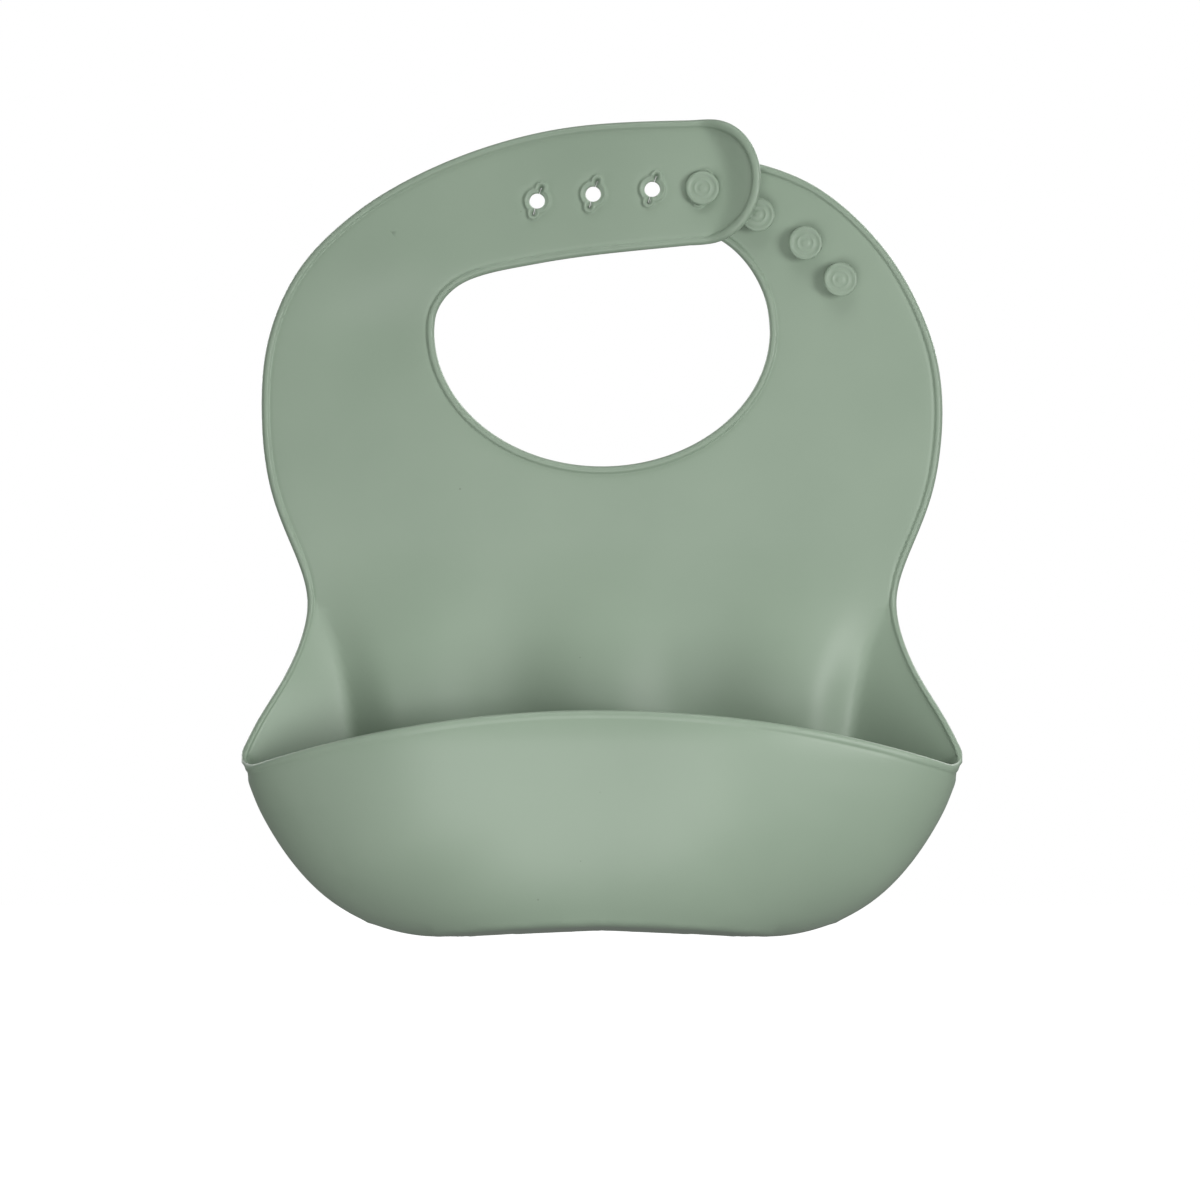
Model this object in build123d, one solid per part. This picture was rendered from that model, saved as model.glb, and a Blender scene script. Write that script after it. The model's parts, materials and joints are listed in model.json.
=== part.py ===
from build123d import *
import os
from math import cos, radians, sin

# A one-piece silicone bib, worn upright. Millimetres, +Z up, +X to the right seen from the front.
# The back of the flat sheet is the plane y = 0 and the front faces -Y, so a "depth" is -y.
# The origin is at the height where the neck loop folds over the shoulders, on the centre line.

# ---- driving dimensions -------------------------------------------------------------------
sheet = 1.6              # thickness of the silicone everywhere
bead_width = 2.3         # raised rim along the outline and the neck edge
bead_height = 0.5
flex_gap = 0.5           # clearance around a half-round flex line
bead_gap = 3.0           # a rim bead stops this far from a flex line
waist_z = -75.0          # narrowest place, where the pocket swings
left_flex_x = -31.0      # where the buttoned strap swings forward

neck_half_width = 52.3   # lower half of the neck opening is half an ellipse
neck_drop = 42.1
neck_z = 8.0             # height of the ellipse's centre

hole_radius = 2.5
slit_reach = 4.65        # from a hole's centre to the end of its slits
slit_width = 1.2
slit_lean = 17.0         # degrees, top leaning to the right
collar_width = 1.1
collar_height = 0.4
hole_places = [(-20.0, 48.0), (-2.7, 50.0), (15.5, 51.4), (30.9, 51.6)]

stud_places = [(30.9, 51.6), (47.9, 43.4), (62.6, 34.6), (73.4, 23.4)]
shank_radius = 2.2
shank_length = 3.0
head_radius = 5.2
head_height = 1.3
head_rim = 0.8           # width and step of the ring round the head's edge
head_step = 0.3

strap_lap = 2.4          # depth of the left strap's back where it lies on the right strap
tip_lift = 6.3           # depth of its back where the tip rides over the second stud
lap_start_x = 16.0       # the strap lies level from here
rise_start_x = 35.8      # and rises from here, clear of the first stud's head
rise_end_x = 42.6

lip_height = 2.0         # rolled edge of the pocket, measured down the wall
corner_z = -123.0        # height of the pocket's two corners
lip_centre = (49.0, -108.5)   # depth and height of the lip at the middle
front_gap = 0.3          # between the pocket's front and its sides
hinge_depth = 17.0       # the pocket's front flexes about a line this deep along its bottom
front_rod_radius = 0.75  # its half-round edge, a little thinner than the wall
bottom_z = -178.0
floor_top = -166.0

# The pocket as level sections: height, half width, half width of the back at the fold,
# depth of the corner, depth of the front, depth of the back.
pocket_sections = [
    (waist_z, 90.7, 88.5, 1.0, 30.0, 0.0),
    (-90.0, 94.0, 80.0, 9.0, 40.0, 0.0),
    (-105.0, 101.7, 77.5, 17.0, 46.0, 0.0),
    (corner_z, 110.6, 76.0, 25.0, 49.0, 0.0),
    (-140.0, 104.3, 73.0, 25.0, 47.5, 0.0),
    (-155.0, 95.5, 67.0, 24.0, 42.0, 0.0),
    (floor_top, 84.7, 60.0, 21.0, 35.0, 0.5),
    (-174.0, 71.0, 52.0, 17.5, 27.0, 4.5),
    (bottom_z, 54.0, 44.0, 15.5, 22.0, 9.0),
]

# Right half of the outline from below the waist to the shoulder, then each strap's own run.
side_points = [(96.0, -95.0), (90.7, waist_z), (95.0, -59.0), (102.0, -38.0), (104.2, -17.0),
               (101.2, 8.0), (90.0, 29.0), (74.5, 45.0)]
left_top_points = [(-60.2, 53.9), (-47.3, 59.9), (-29.5, 66.0), (-3.0, 70.6), (31.0, 72.1)]
left_tip_points = [(31.0, 72.1), (42.4, 68.6), (48.8, 51.5), (42.0, 36.6), (31.0, 33.6)]
left_neck_points = [(31.0, 33.6), (11.7, 32.6), (-12.9, 29.9), (-37.5, 25.2), (-47.5, 18.8),
                    (-neck_half_width, neck_z)]
right_top_points = [(59.3, 54.6), (48.7, 58.5)]
right_neck_points = [(39.0, 35.4), (45.5, 28.0), (50.8, 17.0), (neck_half_width, neck_z)]
right_tip_radius = 12.0
right_tip_turn = 70.0    # degrees: where the strap's edges run into its round end

side_lean = 1.65         # how far the slanting front and gussets move in for each unit of wall
back_lean = 0.6
bend_share = 0.4         # how round the two bends of the strap's rise are
bead_samples = 14        # points along each edge for the inner side of a rim bead
far = 150.0              # half size of the cutting blocks


# ---- helpers --------------------------------------------------------------------------------
def plate(face, back, front):
    """A flat face stood up in the X-Z plane, between two depths."""
    return extrude(Plane.XZ.offset(back) * face, amount=front - back)


def block(x0, x1, d0, d1, z0, z1):
    """A box given by its x, depth and height limits."""
    centre = Pos((x0 + x1) / 2, -(d0 + d1) / 2, (z0 + z1) / 2)
    return centre * Box(x1 - x0, d1 - d0, z1 - z0)


def above(z):
    return block(-far, far, -far, far, z, far)


def below(z):
    return block(-far, far, -far, far, -2 * far, z)


def rod_x(radius, depth, z):
    return Pos(0, -depth, z) * Rot(0, 90, 0) * Cylinder(radius, 2 * far)


def rod_z(radius, x, depth):
    return Pos(x, -depth, 0) * Cylinder(radius, 2 * far)


def side_prism(edges):
    """A closed outline in depth and height, drawn as (depth, z), carried across the width."""
    face = make_face(edges)
    return extrude(Plane((0, 0, 0), x_dir=(0, -1, 0), z_dir=(-1, 0, 0)) * face, amount=far, both=True)


def mirrored(points):
    return [(-x, z) for x, z in points]


def save(name, shape):
    solids = shape.solids()
    shape = solids[0] if len(solids) == 1 else Compound(children=list(solids))
    shape.label = name
    export_step(shape, f"parts/{name}.step")


# ---- outlines -------------------------------------------------------------------------------
# Each strap's edges run up its outer side, round its end and back along the neck.
def neck_ellipse():
    return EllipticalCenterArc((0, neck_z), neck_half_width, neck_drop, 180, arc_size=180)


def left_edges():
    outer = Spline(*mirrored(side_points), *left_top_points)
    tip = Spline(*left_tip_points, tangents=[(1, 0), (-1, 0)])
    neck = Spline(*left_neck_points, tangents=[(-1, 0), (0, -1)])
    return [outer, tip, neck]


def right_edges():
    turn = radians(right_tip_turn)
    centre_x, centre_z = stud_places[0]
    reach_x, reach_z = right_tip_radius * cos(turn), right_tip_radius * sin(turn)
    tip_top = (centre_x + reach_x, centre_z + reach_z)
    tip_low = (centre_x - reach_x, centre_z - reach_z)
    outer = Spline(*side_points, *right_top_points, tip_top, tangents=[(-0.3, 1), (-sin(turn), cos(turn))])
    tip = CenterArc(stud_places[0], right_tip_radius, right_tip_turn, 180)
    neck = Spline(tip_low, *right_neck_points, tangents=[(sin(turn), -cos(turn)), (0, -1)])
    return [outer, tip, neck]


def sheet_face(edges, side):
    """Chest and one strap as one outline, cut off level on the other shoulder."""
    shoulder = [(-side * x, z) for x, z in side_points if z <= neck_z]
    base = (side * side_points[0][0], side_points[0][1])
    closing = [Line((-side * neck_half_width, neck_z), shoulder[-1]),
               Spline(*reversed(shoulder), tangents=[(-side * 0.15, -1), (-side * 0.3, -1)]),
               Line(shoulder[0], base)]
    return make_face([*edges, neck_ellipse(), *closing])


def bead_face(edges, side):
    """The track of a rim bead: the edges, and the same edges moved inwards by its width."""
    inner = []
    for edge in edges:
        stations = [step / bead_samples for step in range(bead_samples)]
        if edge is edges[-1]:
            stations.append(1)
        for station in stations:
            along = edge % station
            inner.append(edge @ station + Vector(-along.Y, along.X) * bead_width * side)
    track = Spline(*inner)
    return make_face([*edges, Line(edges[-1] @ 1, track @ 1), track, Line(track @ 0, edges[0] @ 0)])


def keyhole(grow=0.0):
    """A round hole with two opposite slits, about its own centre."""
    slot = SlotOverall(2 * (slit_reach + grow), slit_width + 2 * grow)
    return Circle(hole_radius + grow) + Rot(0, 0, 90 - slit_lean) * slot


# ---- neck loop and chest: one flat sheet, parted at the shoulder flex line -------------------------
def raised(face):
    return plate(face, sheet, sheet + bead_height)


def make_chest():
    chest = plate(left_face, 0, sheet) & below(0) & above(waist_z)
    chest -= rod_x(sheet / 2 + flex_gap, sheet / 2, 0)
    chest -= rod_x(sheet / 2 + flex_gap, sheet / 2, waist_z)
    save("chest_panel", chest)
    save("neck_rim_bead", raised(neck_track) & below(-bead_gap))
    clear = below(-bead_gap) & above(waist_z + bead_gap)
    save("chest_left_edge_bead", raised(left_track) & clear)
    save("chest_right_edge_bead", raised(right_track) & clear)


def loop_sheet(face):
    """The part of a sheet above the shoulder flex line, with its half-round end."""
    whole = plate(face, 0, sheet)
    return (whole & above(0)) + (whole & rod_x(sheet / 2, sheet / 2, 0))


def make_left_shoulder():
    shoulder = loop_sheet(left_face) & block(-far, left_flex_x, -far, far, -sheet, far)
    save("left_shoulder", shoulder - rod_z(sheet / 2 + flex_gap, left_flex_x, sheet / 2))
    bead = raised(left_track) + raised(neck_track)
    save("left_shoulder_bead", bead & block(-far, left_flex_x - bead_gap, 0, far, bead_gap, far))


def make_right_strap():
    save("right_strap", loop_sheet(right_face) & block(0, far, -far, far, -sheet, far))
    bead = raised(right_track) + raised(neck_track)
    save("right_strap_bead", bead & block(0, far, 0, far, bead_gap, far))


def make_stud(x, z):
    """A mushroom button: shank, round head and a low ring round the head's edge."""
    neck = sheet + shank_length
    face = neck + head_height
    post = plate(Pos(x, z) * Circle(shank_radius), sheet, neck)
    head = plate(Pos(x, z) * Circle(head_radius), neck, face)
    head = fillet(head.edges(), head_height / 3)
    dish = plate(Pos(x, z) * Circle(head_radius - head_rim - head_step), face - head_step, face)
    return post + head - dish


# ---- left strap: it leans forward onto the right strap and its tip rides over a stud ---------------
def strap_run():
    """The strap's back seen from above: it leans onto the other strap, then rises over a stud."""
    middle = ((left_flex_x + lap_start_x) / 2, -strap_lap / 2)
    lean = Spline((left_flex_x, 0), middle, (lap_start_x, -strap_lap), tangents=[(1, 0), (1, 0)])
    level = Line((lap_start_x, -strap_lap), (rise_start_x, -strap_lap))
    bend = (rise_end_x - rise_start_x) * bend_share
    rise = Bezier((rise_start_x, -strap_lap), (rise_start_x + bend, -strap_lap),
                  (rise_end_x - bend, -tip_lift), (rise_end_x, -tip_lift))
    return [lean, level, rise, Line((rise_end_x, -tip_lift), (rise_end_x + head_radius * 2, -tip_lift))]


def strap_band(back, front):
    """The strap's thickness between two depths from its back, carried from bottom to top."""
    near = [Pos(0, -back) * edge for edge in strap_run()]
    far_side = [Pos(0, -front) * edge for edge in strap_run()]
    ends = [Line(near[0] @ 0, far_side[0] @ 0), Line(near[-1] @ 1, far_side[-1] @ 1)]
    return extrude(make_face(near + far_side + ends), amount=far)


def make_left_strap():
    outline = plate(left_face, -far, far) & above(neck_z + 1)
    holes = [Pos(x, z) * keyhole() for x, z in hole_places]
    strap = strap_band(0, sheet) & outline
    strap += plate(left_face, 0, sheet) & rod_z(sheet / 2, left_flex_x, sheet / 2) & above(0)
    for hole in holes:
        strap -= plate(hole, -far, far)
    bead = strap_band(sheet, sheet + bead_height) & plate(left_track, -far, far)
    save("left_strap", strap)
    save("left_strap_bead", bead & block(left_flex_x + bead_gap, far, -far, far, 0, far))
    for number, (x, z) in enumerate(hole_places, start=1):
        ring = Pos(x, z) * (keyhole(collar_width) - keyhole())
        save(f"keyhole_collar_{number}", strap_band(sheet, sheet + collar_height) & plate(ring, -far, far))


# ---- pocket ------------------------------------------------------------------------------------------
def section(z, half_width, fold, corner, front, back):
    """One level section: flat back, two gussets and a bowed front."""
    bow = corner + 0.5 * (front - corner)
    points = [(half_width, -corner), (0.8 * half_width, -bow), (0, -front),
              (-0.8 * half_width, -bow), (-half_width, -corner)]
    edges = [Line((-fold, -back), (fold, -back)), Line((fold, -back), points[0]), Spline(*points),
             Line(points[-1], (-fold, -back))]
    return Pos(0, 0, z) * make_face(edges)


def bowl(inset):
    """The pocket filled solid, or the hollow inside it when inset is the wall."""
    sections = []
    for z, half_width, fold, corner, front, back in pocket_sections:
        height = z + inset if z == bottom_z else z
        inner_back = back + inset
        inner_corner = max(corner, inner_back + inset / 2)
        sections.append(section(height, half_width - side_lean * inset, fold - back_lean * inset,
                                inner_corner, front - inset, inner_back))
    return loft(sections, ruled=True)


def corner_points():
    """Side view of the line where the gussets meet the front, as (depth, z) from the waist down."""
    points = [(corner + sheet / 2, z) for z, _, _, corner, _, _ in pocket_sections if z > bottom_z]
    return [*points, (hinge_depth - 0.5, bottom_z - 1)]


def behind_corner_line(gap=0.0):
    line = [(depth - gap, z) for depth, z in corner_points()]
    return side_prism([Polyline(*line, (-far, line[-1][1]), (-far, line[0][1]), close=True)])


def mouth(drop=0.0):
    """Everything in front of the gussets and above the lip, lowered by drop along the wall."""
    upper = [(depth, z - drop) for depth, z in corner_points() if z >= corner_z]
    lip = (lip_centre[0], lip_centre[1] - drop)
    beyond = (lip[0] + 15, lip[1] + 6)
    rest = Polyline(beyond, (beyond[0], 0), (upper[0][0], 0), *upper)
    return side_prism([rest, Spline(upper[-1], lip, beyond)])


def back_outline():
    """The flat panel behind the pocket: straight top and bottom, curved fold lines at the sides."""
    folds = [(fold, z) for z, _, fold, _, _, _ in pocket_sections if z >= floor_top]
    right = Spline(*folds)
    left = Spline(*reversed(mirrored(folds)))
    return make_face([right, Line(folds[-1], mirrored(folds)[-1]), left, Line(mirrored(folds)[0], folds[0])])


def make_pocket():
    shell = bowl(0) - bowl(sheet) - mouth()
    panel = plate(back_outline(), 0, sheet)
    panel = panel + (plate(left_face, 0, sheet) & rod_x(sheet / 2, sheet / 2, waist_z)
                     & block(-88.5, 88.5, -far, far, -far, 0))
    save("pocket_back_panel", panel)

    hinge_z = bottom_z + sheet / 2
    sides = (shell & behind_corner_line()) - plate(back_outline(), -1, far)
    sides = sides - rod_x(sheet / 2 + flex_gap, hinge_depth, hinge_z) - rod_x(sheet / 2, sheet / 2, waist_z)
    floor_zone = block(-far, far, -far, hinge_depth, -2 * far, floor_top)
    save("pocket_floor", sides & floor_zone)
    gussets = sides - floor_zone
    save("left_gusset", gussets & block(-far, 0, -far, far, -2 * far, far))
    save("right_gusset", gussets & block(0, far, -far, far, -2 * far, far))

    front = (shell - behind_corner_line(-front_gap)) + (shell & rod_x(front_rod_radius, hinge_depth, hinge_z))
    save("pocket_front_wall", front - mouth(lip_height))
    save("pocket_lip", front & mouth(lip_height))


left_face = sheet_face(left_edges(), -1)
right_face = sheet_face(right_edges(), 1)
left_track = bead_face(left_edges(), -1)
right_track = bead_face(right_edges(), 1)
neck_track = bead_face([neck_ellipse()], -1)

make_chest()
make_left_shoulder()
make_right_strap()
for number, place in enumerate(stud_places, start=1):
    save(f"stud_{number}", make_stud(*place))
make_left_strap()
make_pocket()
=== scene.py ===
import json
import math

import bpy
import numpy as np
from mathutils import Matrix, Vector
from mathutils.geometry import delaunay_2d_cdt


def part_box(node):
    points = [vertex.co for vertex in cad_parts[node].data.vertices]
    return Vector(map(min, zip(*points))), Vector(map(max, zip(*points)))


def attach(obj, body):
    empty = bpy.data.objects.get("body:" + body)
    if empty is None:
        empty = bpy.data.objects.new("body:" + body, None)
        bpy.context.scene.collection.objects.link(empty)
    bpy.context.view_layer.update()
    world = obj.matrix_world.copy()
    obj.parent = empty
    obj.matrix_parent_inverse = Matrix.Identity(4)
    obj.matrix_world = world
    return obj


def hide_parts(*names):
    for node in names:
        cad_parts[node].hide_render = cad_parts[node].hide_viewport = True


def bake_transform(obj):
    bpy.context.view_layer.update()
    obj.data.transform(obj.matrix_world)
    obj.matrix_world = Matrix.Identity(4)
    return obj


# The bib is one moulding, so its looks are one thin skin: a middle surface given as a depth over
# points (x, z), thickened to both sides, rounded at its free edges and parted where it bends.
# Shapes are worked out in millimetres and scaled in make_object(); a depth is measured towards the
# viewer, along -Y. Left and right are the viewer's. Blends, camera, lights and floor are in metres.

MM = 0.001
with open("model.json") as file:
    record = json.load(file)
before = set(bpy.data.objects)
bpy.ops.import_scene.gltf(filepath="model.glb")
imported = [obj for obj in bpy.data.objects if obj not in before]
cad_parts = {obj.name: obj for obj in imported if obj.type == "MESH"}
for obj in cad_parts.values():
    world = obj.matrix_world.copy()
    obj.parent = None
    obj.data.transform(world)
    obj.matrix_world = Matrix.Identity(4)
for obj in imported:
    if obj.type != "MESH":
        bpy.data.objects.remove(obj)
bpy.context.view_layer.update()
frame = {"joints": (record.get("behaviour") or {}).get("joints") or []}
joints = {joint["name"]: joint for joint in frame["joints"]}


def span(node, axis):
    """Lowest and highest coordinate of a CAD node, in millimetres."""
    low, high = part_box(node)
    return low[axis] / MM, high[axis] / MM


def middle(node):
    """Centre (x, z) of a CAD node."""
    return sum(span(node, 0)) / 2, sum(span(node, 2)) / 2


# ---- sizes ------------------------------------------------------------------------------------
SHEET = span("chest_panel", 1)[1] - span("chest_panel", 1)[0]
STUDS = [middle(f"stud_{n}") for n in (1, 2, 3, 4)]
HOLES = [middle(f"keyhole_collar_{n}") for n in (1, 2, 3, 4)]
WAIST_Z = joints["waist_fold"]["pos_m"][2] / MM
STRAP_X = joints["left_strap_open"]["pos_m"][0] / MM
HALF_NECK = 51.8         # the lower half of the neck opening is half an ellipse
NECK_LOW = -33.9
NECK_Z = 8.0             # height of the ellipse's centre
CHEST_SEAM_Z = -42.0     # where one piece of the skin ends and the next begins
POCKET_SEAM_Z = -100.0
SPLIT_LOW = (-48.6, 17.9)     # left shoulder, where the buttoned strap's piece begins
SPLIT_HIGH = (-72.4, 47.2)

BEAD_TOP = 0.6           # raised rim along the free edges
BEAD_WIDTH = 2.4
BEAD_TAPER = 1.0         # how much narrower it is beside the pocket
TAPER_SPAN = (58.0, 92.0)     # distances below the origin between which it narrows
LIP_TOP = 0.25           # raised rim on the front of the pocket's lip
CREASE_TOP = 0.35        # raised line along the crease at the pocket's bottom
CREASE_WIDTH = 1.1
CREASE_FADE = (4.0, 16.0)     # distances from the lip between which that line appears
COLLAR_TOP = 0.7         # raised rim round a keyhole
COLLAR_WIDTH = 1.4
SLIT_HALF = 0.58         # half width of a slit at the front; it narrows to almost nothing at the back
SLIT_BOTTOM = 0.20       # distance from a slit's outline where its wall begins
SLIT_FLOOR = -0.70       # how far back the wall reaches, measured from the middle of the sheet
SLIT_START = (2.6, 3.1)       # distances from a keyhole's centre between which its slits begin
SLIT_END = (8.0, 9.0)         # and are over

EDGE_STEP = 1.3          # spacing of points along a free edge
GRID_STEP = 2.4          # spacing of points inside
# Distances of the rows of points beside a free edge, a keyhole, the pocket's seam and the crease.
EDGE_RINGS = (0.12, 0.35, 0.7, 1.1, 1.5, 1.85, 2.15, 2.45, 2.7, 3.0, 3.8)
HOLE_RINGS = (0.12, 0.22, 0.32, 0.42, 0.52, 0.8, 1.1, 1.35, 1.6, 1.9, 2.2, 2.8)
SEAM_RINGS = (0.7, 1.5, 2.5, 3.8, 5.4)
CREASE_RINGS = (0.5, 1.0, 1.6, 2.4)
ROW_MISFIT = (0.04, 0.02)     # how far a row's point may be off, and that as a share of its distance
LINE_GAP = 0.45          # a row keeps this far from a line that the triangles follow
SEAM_GAP = 0.5           # and this far from the pocket's seam
ROW_GAP = 0.4            # a row beside the seam keeps this far from the rows beside a free edge
GRID_GAP = 0.55 * GRID_STEP   # the points inside keep this far from the rows beside an edge or seam
GRID_HOLE_GAP = 0.35 * GRID_STEP   # this far from the rows round a keyhole
GRID_LINE_GAP = 0.5 * GRID_STEP    # and this far from a line
JOIN_GAP = 0.3           # points closer than this are one point where two runs meet
LEVEL_GAP = 0.4          # where a run crosses a level, it has one point on it and none closer than this
ON_LINE = 1e-3           # points closer than this lie on a line
SAME_POINT = 1e-4
NO_AREA = 1e-5
FAR = 1e9
TINY = 1e-12
CHUNK = 1500             # points measured at a time, to keep the arrays small


# ---- curves -----------------------------------------------------------------------------------
def spline(points, step):
    """A smooth curve through the points, as points about one step apart."""
    p = np.array(points, float)
    t = np.concatenate([[0], np.cumsum(np.linalg.norm(np.diff(p, axis=0), axis=1))])
    h = np.diff(t)
    n = len(p)
    matrix, right = np.eye(n), np.zeros(p.shape)
    for i in range(1, n - 1):
        matrix[i, i - 1:i + 2] = h[i - 1], 2 * (h[i - 1] + h[i]), h[i]
        right[i] = 6 * ((p[i + 1] - p[i]) / h[i] - (p[i] - p[i - 1]) / h[i - 1])
    bend = np.linalg.solve(matrix, right)
    s = np.linspace(0, t[-1], max(2, round(t[-1] / step)) + 1)
    i = np.clip(np.searchsorted(t, s) - 1, 0, n - 2)
    a, b = (t[i + 1] - s)[:, None], (s - t[i])[:, None]
    w = h[i][:, None]
    return ((bend[i] * a ** 3 + bend[i + 1] * b ** 3) / (6 * w)
            + (p[i] / w - bend[i] * w / 6) * a + (p[i + 1] / w - bend[i + 1] * w / 6) * b)


def arc(centre, a, b, start, end, step):
    """Part of an ellipse, between two angles in degrees."""
    count = max(3, round(abs(math.radians(end - start)) * (a + b) / 2 / step))
    angle = np.radians(np.linspace(start, end, count + 1))
    return np.stack([centre[0] + a * np.cos(angle), centre[1] + b * np.sin(angle)], 1)


def chain(*runs):
    """Joins runs of points, leaving out each run's first point where it repeats the last one."""
    out = [runs[0]]
    for run in runs[1:]:
        repeats = np.linalg.norm(run[0] - out[-1][-1]) < JOIN_GAP
        out.append(run[1:] if repeats else run)
    return np.concatenate(out)


def mirrored(points):
    """The points on the other side of the centre line."""
    return [(-x, *rest) for x, *rest in points]


def with_level(points, z):
    """The run of points with one exactly at height z, and none very close to it."""
    out = []
    for a, b in zip(points[:-1], points[1:]):
        out.append(a)
        if (a[1] - z) * (b[1] - z) < 0:
            out.append(a + (b - a) * (z - a[1]) / (b[1] - a[1]))
    out.append(points[-1])
    keep = [p for p in out if p[1] == z or abs(p[1] - z) > LEVEL_GAP]
    return np.array(keep)


def level_ends(points, z):
    """The x positions where a run of points crosses height z."""
    return [p[0] for p in points if abs(p[1] - z) < 1e-6]


# ---- outlines ---------------------------------------------------------------------------------
SIDE = [(110.2, -123.4), (104.6, -111.5), (97.9, -99.8), (92.8, -87.5), (91.0, WAIST_Z), (93.0, -66.0),
        (97.0, -56.0), (101.8, -43.0), (104.5, -29.0), (105.2, -15.0)]
RIGHT_TOP = [(103.4, 0.0), (98.2, 15.0), (89.6, 30.2), (78.2, 43.2), (64.2, 53.6)]
RIGHT_TIP_RADIUS = 12.0
RIGHT_TIP_ARC = (66, 246)     # degrees, from the outer side round to the neck
RIGHT_NECK = [(38.6, 34.6), (43.5, 30.1), (48.4, 22.7), (51.0, 15.3), (HALF_NECK, NECK_Z)]
LEFT_TOP = [(-104.2, 0.0), (-100.0, 15.0), (-91.4, 30.0), (-81.6, 40.0), SPLIT_HIGH, (-60.2, 54.5),
            (-37.5, 64.2), (-12.9, 70.3), (11.7, 72.3), (27.0, 72.7)]
LEFT_TIP = [(27.0, 72.7), (34.5, 72.6), (42.4, 68.9), (47.6, 61.0), (48.6, 51.5), (44.8, 41.6),
            (37.2, 35.6), (27.0, 34.1)]
LEFT_NECK = [(27.0, 34.1), (11.7, 32.6), (-12.9, 29.8), (-25.2, 27.7), (-37.5, 24.9), (-43.4, 22.4),
             SPLIT_LOW, (-51.3, 12.6), (-HALF_NECK, NECK_Z)]
# The pocket's seam as x, z, depth: down the side from the corner and in to the middle of the bottom.
SEAM = [(110.2, -123.4, 22.0), (103.4, -139.0, 21.0), (95.0, -153.0, 19.5), (84.0, -165.0, 18.0),
        (71.0, -172.9, 17.0), (54.0, -177.0, 16.0), (30.0, -177.0, 15.5), (0.0, -175.6, 15.0)]
# The crease along the pocket's front bottom, which leaves the seam and arches up in the middle.
RIDGE = [(57.0, -175.8, 22.0), (45.0, -174.7, 30.0), (30.0, -172.9, 37.0), (0.0, -171.5, 40.0)]
# The gusset's free edge above the corner, and the fold line where the flat back ends.
GUSSET = [(93.0, -66.0, 0.0), (91.0, WAIST_Z, 0.7), (92.8, -87.5, 4.6), (98.9, -101.5, 12.5)]
FOLD = [(92.0, -66.0), (88.6, WAIST_Z), (83.0, -88.0), (79.0, -104.0), (76.0, -123.0), (72.5, -140.0),
        (65.0, -154.0), (50.0, -163.5), (28.0, -165.5), (0.0, -165.5)]
LIP_Z = -107.9           # height of the lip in the middle
LIP_DROP = 17.2          # how much lower it is at LIP_SPAN from the middle
LIP_SPAN = 106.0
LIP_TURN = 6.0           # width of the small round turn at each of its ends


def right_edge():
    """The right half's free edge: up from the pocket's corner and over to the strap's round end."""
    centre = np.array(STUDS[0])
    tip = arc(centre, RIGHT_TIP_RADIUS, RIGHT_TIP_RADIUS, *RIGHT_TIP_ARC, EDGE_STEP)
    outer = spline([*SIDE, *RIGHT_TOP, tip[0]], EDGE_STEP)
    neck = spline([tip[-1], *RIGHT_NECK], EDGE_STEP)
    return chain(outer, tip, neck)


def neck_edge():
    """The lower half of the neck opening, from its right side to its left."""
    return arc((0, NECK_Z), HALF_NECK, NECK_Z - NECK_LOW, 0, -180, EDGE_STEP)


def left_edge():
    """The left sheet's two free edges: down the neck's side, and up from the pocket's corner."""
    inner = spline(LEFT_NECK, EDGE_STEP)[::-1]
    outer = spline([*mirrored(SIDE), *LEFT_TOP], EDGE_STEP)
    return inner, outer


def cut_at(points, place):
    """A run of points in two, both with the place itself at the cut."""
    near = int(np.argmin(np.linalg.norm(points - np.array(place), axis=1)))
    points = points.copy()
    points[near] = place
    return points[:near + 1], points[near:]


def both_halves(half):
    """A run of the right half, joined to its mirror image, from left to right."""
    return np.concatenate([half * np.array([-1.0, 1.0]), half[::-1][1:]])


def seam_line():
    """The pocket's seam in the plane, from its left corner to its right one."""
    return both_halves(spline(SEAM, EDGE_STEP)[:, :2])


def lip_height(x):
    """Height of the pocket's lip: a wide arch that drops to the corners."""
    return LIP_Z - LIP_DROP * np.abs(x / LIP_SPAN) ** 2.1


def lip_edge(corner):
    """The lip from the left corner to the right one, with a small round turn at each end."""
    count = round(2 * corner[0] / EDGE_STEP)
    x = corner[0] * np.linspace(-1, 1, count + 1)
    z = lip_height(x)
    lift = np.clip((np.abs(x) - corner[0] + LIP_TURN) / LIP_TURN, 0, 1) ** 2
    z += (corner[1] - lip_height(corner[0])) * lift
    return np.stack([x, z], 1)


def keyhole(centre, tilt=17.0, radius=2.3, reach=4.3, half=0.05):
    """Outline of a round hole with two opposite slits, the top one leaning to the right."""
    side = math.asin(half / radius)
    down = np.linspace(math.pi / 2 - side, side - math.pi / 2, 17)
    bulge = radius * np.stack([np.cos(down), np.sin(down)], 1)
    slit_z = np.linspace(bulge[-1][1], half - reach, 5)[1:-1]
    slit = np.stack([np.full(len(slit_z), half), slit_z], 1)
    turn = np.linspace(0, -math.pi, 7)
    end = np.stack([half * np.cos(turn), half - reach + half * np.sin(turn)], 1)
    right_half = np.concatenate([bulge, slit, end])
    whole = np.concatenate([right_half, -right_half])
    repeats = np.linalg.norm(whole - np.roll(whole, 1, axis=0), axis=1) < half / 2
    c, s = math.cos(math.radians(tilt)), math.sin(math.radians(tilt))
    return whole[~repeats] @ np.array([[c, -s], [s, c]]) + np.array(centre)


# ---- measuring in the plane -------------------------------------------------------------------
def segments(run, closed=False):
    """The straight parts of a run of points, as rows of x, z, x, z."""
    ends = np.roll(run, -1, axis=0) if closed else run[1:]
    starts = run if closed else run[:-1]
    return np.concatenate([starts, ends], 1)


def all_segments(runs, closed=False):
    """The straight parts of several runs."""
    return np.concatenate([segments(run, closed) for run in runs])


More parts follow.
